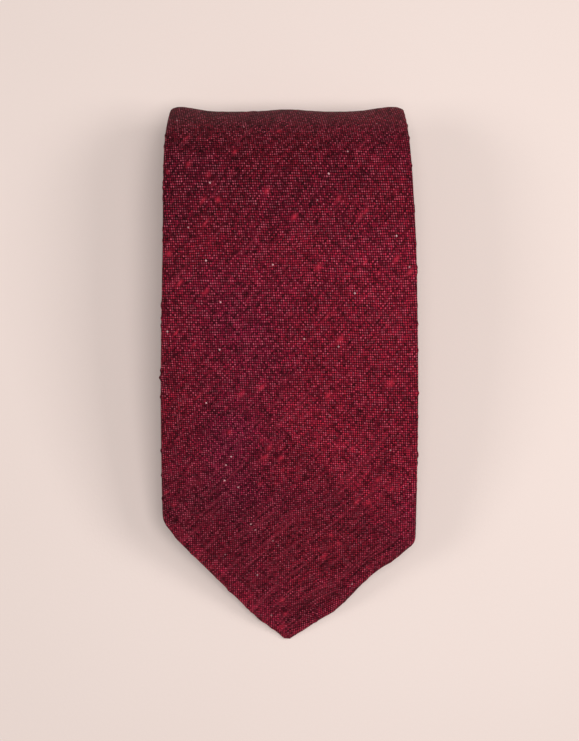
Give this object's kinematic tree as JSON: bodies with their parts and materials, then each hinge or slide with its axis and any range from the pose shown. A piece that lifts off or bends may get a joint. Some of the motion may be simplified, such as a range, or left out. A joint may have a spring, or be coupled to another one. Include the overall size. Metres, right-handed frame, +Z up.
{
  "type": "necktie",
  "caption": "Slubbed silk necktie, wound into a roll from its tail, with the pointed wide end draped off the top; keeper loop, tipping and labels on its back.",
  "frame": {"origin": "on the surface the tie rests on, under the middle of its bounding box", "axes": "+X across the blade, -Y from the roll to the blade's tip, +Z up"},
  "size_m": [0.089, 0.1856, 0.0532],
  "materials": {
    "shantung_silk": "slubbed burgundy shot silk, soft sheen",
    "tipping_silk": "smooth dark burgundy lining silk",
    "interlining_wool": "brushed cream wool interlining",
    "label_ribbon": "blank woven satin ribbon",
    "thread": "silk sewing thread"
  },
  "bodies": {
    "roll": {"blade_silk_wound": "shantung_silk", "slip_thread_wound": "thread", "neck_silk": "shantung_silk", "slip_thread_neck": "thread", "tail_silk": "shantung_silk", "slip_thread_tail": "thread", "tail_tipping": "tipping_silk", "tail_tipping_stitches": "thread", "tail_bar_tack": "thread", "blade_interlining_wound": "interlining_wool", "tail_interlining": "interlining_wool", "interlining_join_stitches": "thread", "blade_to_neck_stitches": "thread", "neck_to_tail_stitches": "thread"},
    "lower_turn": {"blade_silk_lower_turn": "shantung_silk", "blade_interlining_lower_turn": "interlining_wool", "slip_thread_lower_turn": "thread"},
    "upper_turn": {"blade_silk_upper_turn": "shantung_silk", "blade_interlining_upper_turn": "interlining_wool", "slip_thread_upper_turn": "thread"},
    "crest": {"blade_silk_crest": "shantung_silk", "blade_interlining_crest": "interlining_wool", "slip_thread_crest": "thread"},
    "blade_middle": {"blade_silk_middle": "shantung_silk", "blade_interlining_middle": "interlining_wool", "slip_thread_middle": "thread", "blade_tipping_top": "tipping_silk", "blade_bar_tack": "thread", "keeper_loop": "shantung_silk", "keeper_stitches": "thread", "maker_label": "label_ribbon", "care_label": "label_ribbon", "label_stitches": "thread"},
    "blade_point": {"blade_silk_point": "shantung_silk", "blade_interlining_point": "interlining_wool", "blade_tipping": "tipping_silk", "blade_tipping_stitches": "thread"}
  },
  "joints": [
    {"name": "unroll_low", "type": "hinge", "parent": "roll", "child": "lower_turn", "pos_m": [0, 0.07954, 0.00356], "axis": [-1, 0, 0], "range_deg": [0, 60]},
    {"name": "unroll_middle", "type": "hinge", "parent": "lower_turn", "child": "upper_turn", "pos_m": [0, 0.09284, 0.0266], "axis": [-1, 0, 0], "range_deg": [0, 60]},
    {"name": "unroll_top", "type": "hinge", "parent": "upper_turn", "child": "crest", "pos_m": [0, 0.07954, 0.04964], "axis": [-1, 0, 0], "range_deg": [0, 60]},
    {"name": "blade_lift", "type": "hinge", "parent": "crest", "child": "blade_middle", "pos_m": [0, 0.024, 0.05148], "axis": [-1, 0, 0], "range_deg": [0, 15]},
    {"name": "blade_lift_lower", "type": "hinge", "parent": "blade_middle", "child": "blade_point", "pos_m": [0, -0.02667, 0.0379], "axis": [-1, 0, 0], "range_deg": [0, 15]}
  ],
  "couplings": [
    {"joint": "unroll_middle", "follows": "unroll_low", "ratio": 1},
    {"joint": "unroll_top", "follows": "unroll_low", "ratio": 1},
    {"joint": "blade_lift_lower", "follows": "blade_lift", "ratio": 1}
  ]
}
